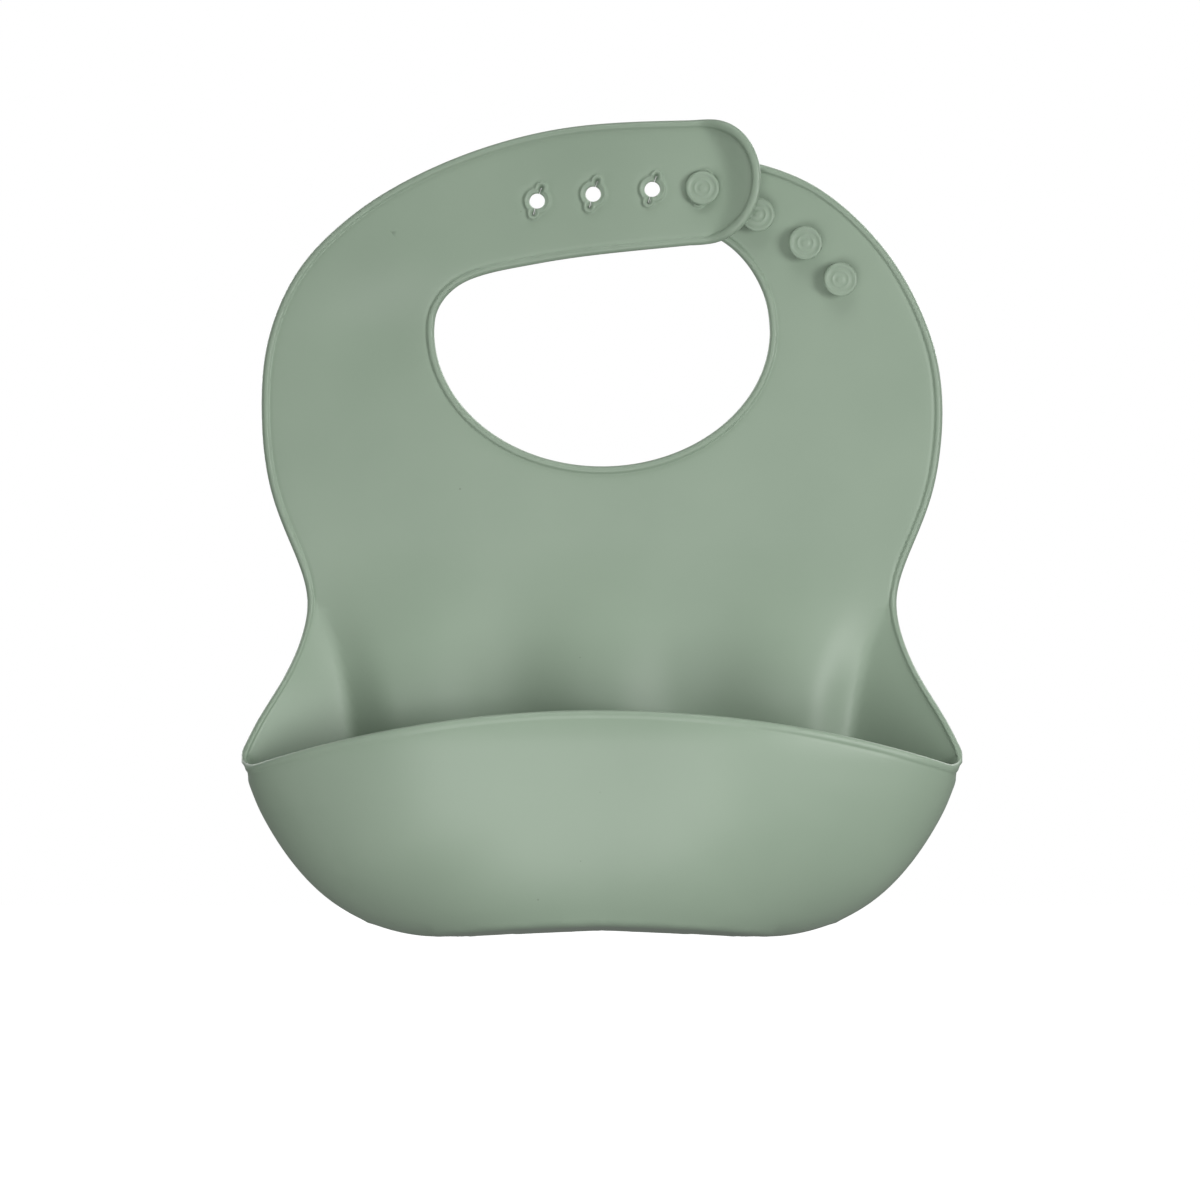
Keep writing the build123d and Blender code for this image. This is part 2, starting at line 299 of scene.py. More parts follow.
def distance(points, parts):
    """How far each point is from the nearest of the segments."""
    out = np.full(len(points), FAR)
    a, d = parts[:, :2], parts[:, 2:] - parts[:, :2]
    square = (d ** 2).sum(1) + TINY
    for start in range(0, len(points), CHUNK):
        p = points[start:start + CHUNK, None, :]
        t = np.clip(((p - a) * d).sum(2) / square, 0, 1)
        gap = np.linalg.norm(p - a - t[..., None] * d, axis=2)
        out[start:start + CHUNK] = gap.min(1)
    return out


def inside(points, loops):
    """Whether each point is inside an odd number of the closed loops."""
    out = np.zeros(len(points), bool)
    x0, z0, x1, z1 = all_segments(loops, True).T
    rise = np.where(z1 == z0, TINY, z1 - z0)
    for start in range(0, len(points), CHUNK):
        x, z = points[start:start + CHUNK, :1], points[start:start + CHUNK, 1:]
        spans = (z0 > z) != (z1 > z)
        left_of = x < x0 + (z - z0) * (x1 - x0) / rise
        out[start:start + CHUNK] = ((spans & left_of).sum(1) % 2) == 1
    return out


def rings(run, distances, closed=False):
    """Points beside a run of points, on both its sides, at the given distances."""
    if closed:
        tangent = np.roll(run, -1, axis=0) - np.roll(run, 1, axis=0)
    else:
        tangent = np.gradient(run, axis=0)
    tangent /= np.linalg.norm(tangent, axis=1)[:, None]
    normal = np.stack([-tangent[:, 1], tangent[:, 0]], 1)
    found = []
    for gap in distances:
        for side in (-1, 1):
            found.append((run + side * gap * normal, gap))
    return found


# ---- triangulated regions ---------------------------------------------------------------------
def row_points(loops, free, holes, seam, lines, crease):
    """Rows of points beside the free edges, keyholes, seam and crease, clear of each other."""
    rim_parts = all_segments(free)
    hole_parts = all_segments(holes, True) if holes else None
    free_parts = np.concatenate([rim_parts, hole_parts]) if holes else rim_parts
    seam_parts = None if seam is None else segments(seam)
    rows = [(p, gap, rim_parts) for run in free for p, gap in rings(run, EDGE_RINGS)]
    rows += [(p, gap, hole_parts) for hole in holes for p, gap in rings(hole, HOLE_RINGS, True)]
    if seam is not None:
        rows += [(p, gap, seam_parts) for p, gap in rings(seam, SEAM_RINGS)]
    if crease is not None:
        rows += [(p, gap, segments(crease)) for p, gap in rings(crease, CREASE_RINGS)]
    kept = []
    for points, gap, own in rows:
        misfit = np.abs(distance(points, own) - gap)
        good = inside(points, loops) & (misfit < ROW_MISFIT[0] + ROW_MISFIT[1] * gap)
        if own is rim_parts and holes:
            good &= distance(points, hole_parts) > HOLE_RINGS[-1]
        if own is seam_parts:
            good &= distance(points, free_parts) > EDGE_RINGS[-1] + ROW_GAP
        elif seam is not None:
            good &= distance(points, seam_parts) > SEAM_GAP
        for line in lines:
            good &= distance(points, segments(line)) > LINE_GAP
        kept.append(points[good])
    return kept


def grid_points(loops, free, holes, seam, lines):
    """A triangular grid inside the loops, clear of the rows of points and the lines."""
    low, high = loops[0].min(0), loops[0].max(0)
    row_gap = GRID_STEP * math.sqrt(3) / 2
    grid = np.array([(x + (j % 2) * GRID_STEP / 2, z)
                     for j, z in enumerate(np.arange(low[1], high[1], row_gap))
                     for x in np.arange(low[0], high[0], GRID_STEP)])
    good = inside(grid, loops) & (distance(grid, all_segments(free)) > EDGE_RINGS[-1] + GRID_GAP)
    if holes:
        good &= distance(grid, all_segments(holes, True)) > HOLE_RINGS[-1] + GRID_HOLE_GAP
    if seam is not None:
        good &= distance(grid, segments(seam)) > SEAM_RINGS[-1] + GRID_GAP
    for line in lines:
        good &= distance(grid, segments(line)) > GRID_LINE_GAP
    return grid[good]


def triangulate(loops, lines, points_inside):
    """Triangles inside the loops that use all the points and follow the lines, all facing one way."""
    points, edges = [], []
    for loop in loops:
        start, count = len(points), len(loop)
        points += [Vector(p) for p in loop]
        edges += [(start + i, start + (i + 1) % count) for i in range(count)]
    for line in lines:
        start = len(points)
        points += [Vector(p) for p in line]
        edges += [(start + i, start + i + 1) for i in range(len(line) - 1)]
    points += [Vector(p) for run in points_inside for p in run]
    made = delaunay_2d_cdt(points, edges, [], 0, SAME_POINT, False)
    flat = np.array([tuple(v) for v in made[0]])
    triangles = np.array([face for face in made[2] if len(face) == 3])
    triangles = triangles[inside(flat[triangles].mean(1), loops)]
    a, b, c = (flat[triangles[:, k]] for k in range(3))
    area = (b[:, 0] - a[:, 0]) * (c[:, 1] - a[:, 1]) - (b[:, 1] - a[:, 1]) * (c[:, 0] - a[:, 0])
    triangles[area < 0] = triangles[area < 0][:, ::-1]
    return flat, triangles[np.abs(area) > NO_AREA]


def region(outline, free, seam=None, holes=(), lines=(), crease=None):
    """Triangles that fill an outline, with rows of points along its free edges, seam and crease."""
    loops = [outline, *holes]
    if crease is not None:
        lines = [*lines, crease]
    kept = row_points(loops, free, holes, seam, lines, crease)
    kept.append(grid_points(loops, free, holes, seam, lines))
    return triangulate(loops, lines, kept)


def graded(length):
    """Places along a line, as close together near its ends as the rows beside a free edge are."""
    near = np.array((0,) + EDGE_RINGS)
    inner = np.linspace(near[-1], length - near[-1], round(length / GRID_STEP))[1:-1]
    return np.concatenate([near, inner, length - near[::-1]])


def level_line(x0, x1, z):
    """Points across the sheet at one height."""
    x = x0 + graded(x1 - x0)
    return np.stack([x, np.full(len(x), float(z))], 1)


def split_line():
    """The line across the left shoulder where the buttoned strap's piece begins."""
    low, high = np.array(SPLIT_LOW), np.array(SPLIT_HIGH)
    length = np.linalg.norm(high - low)
    return low + (graded(length) / length)[:, None] * (high - low)


# ---- the depth of the middle surface ----------------------------------------------------------
POCKET_MIDDLE = (0.0, -118.0)    # directions in the pocket are taken round this point
TABLE_STEP = 0.5                 # spacing of points along a curve of the pocket
SEAM_SIDE = 5                    # points of the seam that the crease shares, from the corner down
FOLD_SIDE = 5                    # points of the fold beside the chest, from its top down
GUSSET_LEAST = 1.0               # the fold keeps this far from the rim
FOLD_BLUR = 0.16                 # roundness of the fold, as a share of the gusset's width
FOLD_WIDTH = 15.0                # distance from the fold over which the chest's bulge rises
BULGE_SPAN = (56.0, 108.0)       # distances below the origin between which that bulge sets in
SAG = 5.0                        # how far the chest hangs forward behind the lip
SAG_FADE = (118.0, 166.0)        # and between which that goes back
CHEST_PLEATS = {"crest": -2.0, "pitch": 60.0, "height": 2.7}
PLEAT_FADE = (106.0, 150.0)
# Shallow dents and swellings of the left shoulder: centre, width, height and depth.
SHOULDER_DENTS = [((-70.0, 8.0), 17.0, 13.0, -1.6), ((-62.0, 30.0), 20.0, 12.0, 1.2)]
STRAP_LEAN = 2.4                 # the buttoned strap lies this much in front of the other one
LEAN_END = 16.0                  # x at which it has come that far forward
TIP_LIFT = 6.6                   # its tip is pushed up by the second stud
LIFT_SPAN = (36.5, 50.0)         # x between which it rises, at the first stud's height
LIFT_CURVE = 0.018               # how much that place curves round the first stud
STUD_PULL = 0.55                 # dimple round the first stud
PULL_WIDTH = 9.0
FRONT_DEPTH = 48.5               # depth of the pocket's front at its middle, without the pleats
FRONT_PLEATS = {"crest": -62.0, "pitch": 100.0, "height": 1.8}
LIP_LEAN = 0.02                  # how the front leans back above the pocket's middle
# From the middle out to the crease the front's depth falls as (1 - r ** a) ** b. These are a and b at
# the sides, and what they gain towards the bottom.
BOWL_A = (3.0, 0.4)
BOWL_B = (0.62, 0.33)
STRIP_LEAST = 0.3                # least width of the strip under the crease, where it runs out
RIDGE_END = 51.0                 # half width of the part of the crease that is clear of the seam


def polar(x, z):
    """Direction below the horizontal, and distance, from the pocket's middle, with x taken as |x|."""
    dx, dz = np.abs(x - POCKET_MIDDLE[0]), POCKET_MIDDLE[1] - z
    return np.arctan2(dz, dx), np.hypot(dx, dz)


def polar_table(points):
    """A curve of the pocket's right half as direction, distance and depth."""
    run = spline(points, TABLE_STEP)
    angle, reach = polar(run[:, 0], run[:, 1])
    order = np.argsort(angle)
    depth = run[order, 2] if run.shape[1] > 2 else np.zeros(len(run))
    return angle[order], reach[order], depth


RIM_TABLE = polar_table([*GUSSET, *SEAM])
RIDGE_TABLE = polar_table([*SEAM[:SEAM_SIDE], *RIDGE])
FOLD_TABLE = polar_table(FOLD)


def step_up(x, start, end):
    """A smooth change from 0 to 1 between start and end."""
    t = np.clip((x - start) / (end - start), 0, 1)
    return t * t * (3 - 2 * t)


def soft_ramp(t, blur):
    """0 below 0 and t above it, with a rounded change between."""
    return (t + np.sqrt(t * t + blur * blur)) / 2


def hump(x, z, centre, width, height):
    """A smooth round rise from 0 to 1 over a place."""
    return np.exp(-((x - centre[0]) / width) ** 2 - ((z - centre[1]) / height) ** 2)


def pleats(x, crest, pitch, height):
    """Soft upright pleats, one of them with its crest at a given x."""
    return height * np.cos(2 * math.pi * (x - crest) / pitch)


def fold_x(z):
    """Distance of the gusset's fold from the centre line, at a height on the chest."""
    x, height = np.array(FOLD[:FOLD_SIDE]).T
    return np.interp(-z, -height, x)


def bulge_depth(x, z):
    """How far the chest hangs forward above the pocket, with soft pleats."""
    low = step_up(-z, *BULGE_SPAN)
    from_fold = np.clip((fold_x(z) - np.abs(x)) / FOLD_WIDTH, 0, 1)
    sag = SAG * (1 - step_up(-z, *SAG_FADE)) + pleats(x, **CHEST_PLEATS) * (1 - step_up(-z, *PLEAT_FADE))
    return low * (1 - (1 - from_fold) ** 2) * sag


def sheet_depth(x, z):
    """Middle surface of the chest, shoulders, gussets and floor."""
    angle, reach = polar(x, z)
    rim = np.interp(angle, RIM_TABLE[0], RIM_TABLE[1])
    deep = np.interp(angle, RIM_TABLE[0], RIM_TABLE[2])
    deep = np.where(angle < RIM_TABLE[0][0], 0.0, deep)
    fold = np.minimum(np.interp(angle, FOLD_TABLE[0], FOLD_TABLE[1]), rim - GUSSET_LEAST)
    across = (reach - fold) / (rim - fold)
    ramp = soft_ramp(across, FOLD_BLUR) - soft_ramp(-1.0, FOLD_BLUR) * np.clip(1 - across, 0, 1) / 2
    side = deep * ramp / soft_ramp(1.0, FOLD_BLUR)
    dent = sum(depth * hump(x, z, centre, width, height) for centre, width, height, depth in SHOULDER_DENTS)
    return SHEET / 2 + side + bulge_depth(x, z) + dent


def strap_depth(x, z):
    """Middle surface of the buttoned strap: it leans onto the other strap and rides over a stud."""
    lean = STRAP_LEAN * step_up(x, STRAP_X, LEAN_END)
    lift = TIP_LIFT * step_up(x + LIFT_CURVE * (z - STUDS[0][1]) ** 2, *LIFT_SPAN)
    pull = STUD_PULL * hump(x, z, STUDS[0], PULL_WIDTH, PULL_WIDTH)
    return sheet_depth(x, z) + lean + lift - pull


def front_depth(x, z):
    """Middle surface of the pocket's front: a bowl down to the crease, then a strip under it."""
    angle, reach = polar(x, np.minimum(z, POCKET_MIDDLE[1]))
    angle = np.maximum(angle, polar(*SEAM[0][:2])[0])
    rim = np.interp(angle, RIM_TABLE[0], RIM_TABLE[1])
    crease = np.minimum(np.interp(angle, RIDGE_TABLE[0], RIDGE_TABLE[1]), rim)
    crease_deep = np.interp(angle, RIDGE_TABLE[0], RIDGE_TABLE[2])
    seam_deep = np.interp(angle, RIM_TABLE[0], RIM_TABLE[2])
    out = np.clip(reach / crease, 0, 1)
    under = np.clip((reach - crease) / np.maximum(rim - crease, STRIP_LEAST), 0, 1)
    down = np.sin(np.clip(angle, 0, None)) ** 2
    body = (1 - out ** (BOWL_A[0] + BOWL_A[1] * down)) ** (BOWL_B[0] + BOWL_B[1] * down ** 2)
    above = np.clip(z - POCKET_MIDDLE[1], 0, None)
    waves = pleats(x, **FRONT_PLEATS) * (1 - out ** 3)
    bowl = crease_deep + (FRONT_DEPTH - crease_deep) * body - LIP_LEAN * above ** 2 + waves
    return SHEET / 2 + bowl - (crease_deep - seam_deep) * under


def ridge_line():
    """The part of the crease that stands clear of the seam, across the middle of the bottom."""
    half = spline(RIDGE, EDGE_STEP)[:, :2]
    return both_halves(half[half[:, 0] < RIDGE_END])


def crease_line():
    """The whole crease, along the seam at both sides and across the bottom."""
    return both_halves(spline([*SEAM[:SEAM_SIDE], *RIDGE], EDGE_STEP)[:, :2])


# ---- the whole middle surface -----------------------------------------------------------------
def build_surface():
    """The bib's middle surface, as stitch() returns it."""
    seam = seam_line()
    right = with_level(with_level(right_edge(), CHEST_SEAM_Z), POCKET_SEAM_Z)
    left_inner, left_outer = left_edge()
    left_outer = with_level(with_level(left_outer, CHEST_SEAM_Z), POCKET_SEAM_Z)
    inner_shoulder, inner_strap = cut_at(left_inner, SPLIT_LOW)
    outer_shoulder, outer_strap = cut_at(left_outer, SPLIT_HIGH)
    tip = spline(LEFT_TIP, EDGE_STEP)
    split = split_line()
    lip = lip_edge(SEAM[0])

    sheet_free = [chain(right, neck_edge(), inner_shoulder), outer_shoulder]
    sheet_outline = close(chain(seam, right, neck_edge(), inner_shoulder, split, outer_shoulder[::-1]))
    levels = []
    for z in (CHEST_SEAM_Z, POCKET_SEAM_Z):
        levels.append(level_line(level_ends(left_outer, z)[0], level_ends(right, z)[0], z))
    sheet = region(sheet_outline, sheet_free, seam, lines=levels)

    strap_free = [chain(outer_strap, tip, inner_strap[::-1])]
    strap_outline = close(chain(split, outer_strap, tip, inner_strap[::-1]))
    holes = [keyhole(place) for place in HOLES]
    strap = region(strap_outline, strap_free, holes=holes)

    front_outline = close(chain(seam, lip[::-1]))
    front = region(front_outline, [lip], seam, crease=ridge_line())
    return stitch(
        (sheet, sheet_depth, sheet_free, []),
        (strap, strap_depth, strap_free, holes),
        (front, front_depth, [lip], []),
        seam, split)


def close(run):
    """The run as a closed loop, without a repeated last point."""
    return run[:-1] if np.linalg.norm(run[0] - run[-1]) < JOIN_GAP else run


def stitch(sheet, strap, front, seam, split):
    """One surface from the three regions, sharing the points on the pocket's seam and the split line.

    It is given as vertices, triangles, the region of each triangle (0 sheet, 1 strap, 2 front), and
    each vertex's distance from the nearest free edge and from the nearest keyhole.
    """
    shared = {}
    verts, faces, kinds, rim, hole = [], [], [], [], []
    seam_parts, split_parts = segments(seam), segments(split)
    for kind, (mesh, depth, free, holes) in enumerate((sheet, strap, front)):
        flat, triangles = mesh
        on_seam = (distance(flat, seam_parts) < ON_LINE) & (kind != 1)
        on_split = (distance(flat, split_parts) < ON_LINE) & (kind != 2)
        y = depth(flat[:, 0], flat[:, 1])
        rim_gap = distance(flat, all_segments(free))
        hole_gap = distance(flat, all_segments(holes, True)) if holes else np.full(len(flat), FAR)
        index = np.zeros(len(flat), int)
        for i, (x, z) in enumerate(flat):
            key = (round(float(x), 2), round(float(z), 2), bool(on_split[i]))
            if (on_seam[i] or on_split[i]) and key in shared:
                index[i] = shared[key]
                rim[index[i]] = min(rim[index[i]], rim_gap[i])
                continue
            index[i] = len(verts)
            if on_seam[i] or on_split[i]:
                shared[key] = index[i]
            verts.append((x, -y[i], z))
            rim.append(rim_gap[i])
            hole.append(hole_gap[i])
        part = index[triangles]
        if kind == 2:
            part = part[:, ::-1]
        faces.append(part)
        kinds.append(np.full(len(part), kind))
    return (np.array(verts, float), np.concatenate(faces), np.concatenate(kinds),
            np.array(rim), np.array(hole))


def edge_list(faces):
    """Every edge once, and how many triangles use it."""
    edges = np.sort(np.concatenate([faces[:, [0, 1]], faces[:, [1, 2]], faces[:, [2, 0]]]), axis=1)
    return np.unique(edges, axis=0, return_counts=True)


def relax(verts, faces, weight, rounds):
    """Smooths the surface where weight is above 0, half way in each round.

    Points on the surface's edge only follow that edge.
    """
    edges, uses = edge_list(faces)
    border = np.zeros(len(verts), bool)
    border[edges[uses == 1].ravel()] = True
    inner = edges[~(border[edges].any(1))]
    mixed = edges[border[edges].sum(1) == 1]
    outer = edges[uses == 1]
    links = [(inner[:, 0], inner[:, 1]), (inner[:, 1], inner[:, 0]), (outer[:, 0], outer[:, 1]),
             (outer[:, 1], outer[:, 0])]
    first_is_border = border[mixed[:, 0]]
    links.append((np.where(first_is_border, mixed[:, 1], mixed[:, 0]),
                  np.where(first_is_border, mixed[:, 0], mixed[:, 1])))
    into = np.concatenate([a for a, _ in links])
    source = np.concatenate([b for _, b in links])
    count = np.bincount(into, minlength=len(verts)).astype(float)[:, None]
    count[count == 0] = 1
    for _ in range(rounds):
        total = np.stack([np.bincount(into, verts[source, k], len(verts)) for k in range(3)], 1)
        verts = verts + 0.5 * weight[:, None] * (total / count - verts)
    return verts


def vertex_normals(verts, faces):
    """Directions square to the surface at its vertices."""
    a, b, c = (verts[faces[:, k]] for k in range(3))
    face = np.cross(b - a, c - a)
    out = np.zeros_like(verts)
    for k in range(3):
        for axis in range(3):
            out[:, axis] += np.bincount(faces[:, k], face[:, axis], len(verts))
    return out / (np.linalg.norm(out, axis=1)[:, None] + TINY)


def bead(gap, width, top):
    """Height of a raised rim at a distance from the edge, with a shallow groove on its inner side.

    Its section is given in shares of its width and height.
    """
    rise = step_up(gap, -0.3, 0.5 * width)
    fall = 1 - step_up(gap, 0.74 * width, 1.04 * width)
    groove = 0.3 * np.exp(-((gap - 1.12 * width) / (0.16 * width)) ** 2)
    return top * (rise * fall - groove)


def rounded(gap):
    """Share of half the thickness left near a free edge, so that the edge is a half circle."""
    reach = np.clip(gap / (SHEET / 2), 0, 1)
    return np.sqrt(1 - (1 - reach) ** 2)


def slit_share(verts):
    """1 beside a keyhole's slits, 0 beside its round hole and everywhere else."""
    near = np.min([np.hypot(verts[:, 0] - x, verts[:, 2] - z) for x, z in HOLES], axis=0)
    return step_up(near, *SLIT_START) * (1 - step_up(near, *SLIT_END))


def front_verts(surface):
    """Whether each vertex belongs to the pocket's front."""
    out = np.zeros(len(surface[0]), bool)
    out[surface[1][surface[2] == 2].ravel()] = True
    return out


def raised_rim(verts, rim, in_front):
    """What the rim adds to the skin that faces the viewer."""
    width = BEAD_WIDTH - BEAD_TAPER * step_up(-verts[:, 2], *TAPER_SPAN)
    return np.where(in_front, 0.0, bead(rim, width, BEAD_TOP))


def raised_lip(verts, rim, in_front):
    """What the lip and the crease add to the outer skin of the pocket's front."""
    from_crease = distance(verts[:, [0, 2]], segments(crease_line()))
    crease = CREASE_TOP * np.exp(-(from_crease / CREASE_WIDTH) ** 2) * step_up(rim, *CREASE_FADE)
    return np.where(in_front, bead(rim, BEAD_WIDTH, LIP_TOP) + crease, 0.0)


def skins(surface):
    """The two skins of the bib: the one facing the viewer or into the pocket, and the other."""
    verts, faces, rim, hole = surface[0], surface[1], surface[3], surface[4]
    normal = vertex_normals(verts, faces)
    in_front = front_verts(surface)
    slit = slit_share(verts)
    half = SHEET / 2 * rounded(np.minimum(rim, hole))
    groove = SLIT_FLOOR + (SHEET / 2 - SLIT_FLOOR) * step_up(hole, SLIT_BOTTOM, SLIT_HALF)
    face = (1 - slit) * half + slit * groove
    back = np.where(slit > 0.5, SHEET / 2, half)
    collar = bead(hole - slit * SLIT_HALF, COLLAR_WIDTH, COLLAR_TOP)
    a = verts + normal * (face + raised_rim(verts, rim, in_front) + collar)[:, None]
    b = verts - normal * (back + raised_lip(verts, rim, in_front))[:, None]
    return a, b


# ---- pieces -----------------------------------------------------------------------------------
HEAD_THICK = 1.3         # of a stud
RING_DEEP = 0.3          # how deep its face is sunk between the rings
TURNS = 64               # sides of a turned shape


def make_object(name, verts, faces, sharp=()):
    """A smooth-shaded mesh object from millimetres, with some edges kept sharp."""
    mesh = bpy.data.meshes.new(name)
    mesh.from_pydata([tuple(v * MM) for v in verts], [], [tuple(int(i) for i in f) for f in faces])
    mesh.validate()
    mesh.polygons.foreach_set("use_smooth", [True] * len(mesh.polygons))
    wanted = {tuple(sorted(map(int, pair))) for pair in sharp}
    for edge in mesh.edges:
        if tuple(sorted(edge.vertices)) in wanted:
            edge.use_edge_sharp = True
    mesh.update()
    obj = bpy.data.objects.new(name, mesh)
    bpy.context.scene.collection.objects.link(obj)
    return obj


def make_piece(name, surface, both, chosen):
    """The chosen triangles as a closed piece: both skins, joined at free edges and capped at cuts."""
    faces = surface[1]
    rim = np.minimum(surface[3], surface[4])
    part = faces[chosen]
    used = np.unique(part)
    border, uses = edge_list(part)
    border = border[uses == 1]
    free = rim < ON_LINE
    place_a = {int(v): i for i, v in enumerate(used)}
    twin = [int(v) for v in used if not free[v]]
    place_b = {int(v): place_a[int(v)] for v in used}
    place_b.update({v: len(used) + i for i, v in enumerate(twin)})
    verts = np.concatenate([both[0][used], both[1][twin]])
    front = [[place_a[int(v)] for v in f] for f in part]
    back = [[place_b[int(v)] for v in f[::-1]] for f in part]
    caps, sharp = [], []
    directed = set()
    for f in part:
        directed |= {(int(f[0]), int(f[1])), (int(f[1]), int(f[2])), (int(f[2]), int(f[0]))}
    for p, q in border:
        p, q = int(p), int(q)
        if free[p] and free[q]:
            continue
        if (p, q) not in directed:
            p, q = q, p
        ring = [place_a[q], place_a[p], place_b[p], place_b[q]]
        caps.append(list(dict.fromkeys(ring)))
        sharp += [(place_a[p], place_a[q]), (place_b[p], place_b[q])]
    return make_object(name, verts, front + back + caps, sharp)


def stud_profile(head, face):
    """A stud's outline as radius and depth: flared foot, shank, round head, two rings on its face."""
    under = face - HEAD_THICK
    low, high = face - RING_DEEP, face - 0.08
    foot = [(3.1, SHEET - 0.1), (2.7, SHEET + 0.15), (2.35, SHEET + 0.5), (2.2, SHEET + 1.0)]
    shank = [(2.2, under - 0.35), (2.45, under - 0.08), (3.0, under)]
    side = [(head - 0.45, under + 0.05), (head - 0.12, under + 0.2), (head, under + 0.5),
            (head, face - 0.5), (head - 0.12, face - 0.2), (head - 0.42, face - 0.03)]
    border = [(head - 0.8, face), (head - 1.05, face - 0.04), (head - 1.3, face - 0.22), (head - 1.6, low)]
    ring = [(2.9, low), (2.7, face - 0.18), (2.45, high), (2.2, face - 0.18), (2.0, low)]
    boss = [(1.3, low), (1.1, face - 0.18), (0.8, high), (0.4, face - 0.07)]
    return [*foot, *shank, *side, *border, *ring, *boss]


def make_stud(name, centre):
    """A mushroom button turned about its axis."""
    head = (span(name, 0)[1] - span(name, 0)[0]) / 2
    profile = stud_profile(head, -span(name, 1)[0])
    angle = np.arange(TURNS) * 2 * math.pi / TURNS
    verts = [(centre[0] + radius * math.cos(a), -depth, centre[1] + radius * math.sin(a))
             for radius, depth in profile for a in angle]
    verts.append((centre[0], -profile[-1][1], centre[1]))
    faces = []
    for row in range(len(profile) - 1):
        for i in range(TURNS):
            j = (i + 1) % TURNS
            low, high = row * TURNS, (row + 1) * TURNS
            faces.append((low + i, low + j, high + j, high + i))
    last = (len(profile) - 1) * TURNS
    faces += [(last + i, last + (i + 1) % TURNS, len(verts) - 1) for i in range(TURNS)]
    faces.append(tuple(range(TURNS))[::-1])
    foot = [(i, (i + 1) % TURNS) for i in range(TURNS)]
    return make_object(name + "_button", np.array(verts), faces, foot)


# ---- material ---------------------------------------------------------------------------------
DARK_SAGE = (0.275, 0.360, 0.271, 1)
LIGHT_SAGE = (0.296, 0.383, 0.290, 1)
LINT = (0.16, 0.20, 0.15, 1)


def noise(tree, place, scale, detail):
    """A noise texture's value."""
    node = tree.nodes.new("ShaderNodeTexNoise")
    node.inputs["Scale"].default_value = scale
    node.inputs["Detail"].default_value = detail
    tree.links.new(place, node.inputs["Vector"])
    return node.outputs["Fac"]


def calculate(tree, operation, first, second):
    """A math node's result; the second input may be a number."""
    node = tree.nodes.new("ShaderNodeMath")
    node.operation = operation
    tree.links.new(first, node.inputs[0])
    if isinstance(second, float):
        node.inputs[1].default_value = second
    else:
        tree.links.new(second, node.inputs[1])
    return node.outputs[0]


def mottled(tree, cloud):
    """The silicone's colour, which varies faintly."""
    tone = tree.nodes.new("ShaderNodeValToRGB")
    for element, position, colour in zip(tone.color_ramp.elements, (0.3, 0.7), (DARK_SAGE, LIGHT_SAGE)):
        element.position = position
        element.color = colour
    tree.links.new(cloud, tone.inputs["Fac"])
    return tone.outputs["Color"]


def with_lint(tree, place, colour):
    """The colour with a few small dark specks: one in ten cells of a Voronoi pattern has one."""
    cells = tree.nodes.new("ShaderNodeTexVoronoi")
    cells.inputs["Scale"].default_value = 160.0
    cells.inputs["Randomness"].default_value = 1.0
    tree.links.new(place, cells.inputs["Vector"])
    parts = tree.nodes.new("ShaderNodeSeparateColor")
    tree.links.new(cells.outputs["Color"], parts.inputs["Color"])
    near = calculate(tree, "LESS_THAN", cells.outputs["Distance"], 0.055)
    rare = calculate(tree, "GREATER_THAN", parts.outputs["Red"], 0.9)
    speck = calculate(tree, "MULTIPLY", calculate(tree, "MULTIPLY", near, rare), 0.45)
    mix = tree.nodes.new("ShaderNodeMix")
    mix.data_type = "RGBA"
    mix.inputs["B"].default_value = LINT
    tree.links.new(speck, mix.inputs["Factor"])
    tree.links.new(colour, mix.inputs["A"])
    return mix.outputs["Result"]


def silicone(name):
    """Matte sage silicone: faint mottling, a very fine grain, soft sheen and a few specks of lint."""
    material = bpy.data.materials.new(name)
    material.use_nodes = True
    tree = material.node_tree
    tree.nodes.clear()
    output = tree.nodes.new("ShaderNodeOutputMaterial")
    shader = tree.nodes.new("ShaderNodeBsdfPrincipled")
    tree.links.new(shader.outputs["BSDF"], output.inputs["Surface"])
    place = tree.nodes.new("ShaderNodeTexCoord").outputs["Object"]
    cloud = noise(tree, place, 22.0, 3.0)
    colour = with_lint(tree, place, mottled(tree, cloud))
    tree.links.new(colour, shader.inputs["Base Color"])

    rough = tree.nodes.new("ShaderNodeMapRange")
    rough.inputs["To Min"].default_value = 0.40
    rough.inputs["To Max"].default_value = 0.48
    tree.links.new(cloud, rough.inputs["Value"])
    tree.links.new(rough.outputs["Result"], shader.inputs["Roughness"])

    bump = tree.nodes.new("ShaderNodeBump")
    bump.inputs["Strength"].default_value = 0.10
    bump.inputs["Distance"].default_value = 0.0001
    tree.links.new(noise(tree, place, 1500.0, 2.0), bump.inputs["Height"])
    tree.links.new(bump.outputs["Normal"], shader.inputs["Normal"])
    shader.inputs["Specular IOR Level"].default_value = 0.5
    shader.inputs["Sheen Weight"].default_value = 0.08
    shader.inputs["Sheen Roughness"].default_value = 0.5
    return material


# ---- camera, light and floor ------------------------------------------------------------------
VIEW_WIDTH = 0.3684                      # width that the camera sees at the bib
VIEW_CENTRE = (-0.0006, -0.008, -0.0752)
LENS = 110.0                             # in millimetres, as the sensor's width
SENSOR = 36.0
LIGHT_AIM = (0.0, -0.02, -0.125)
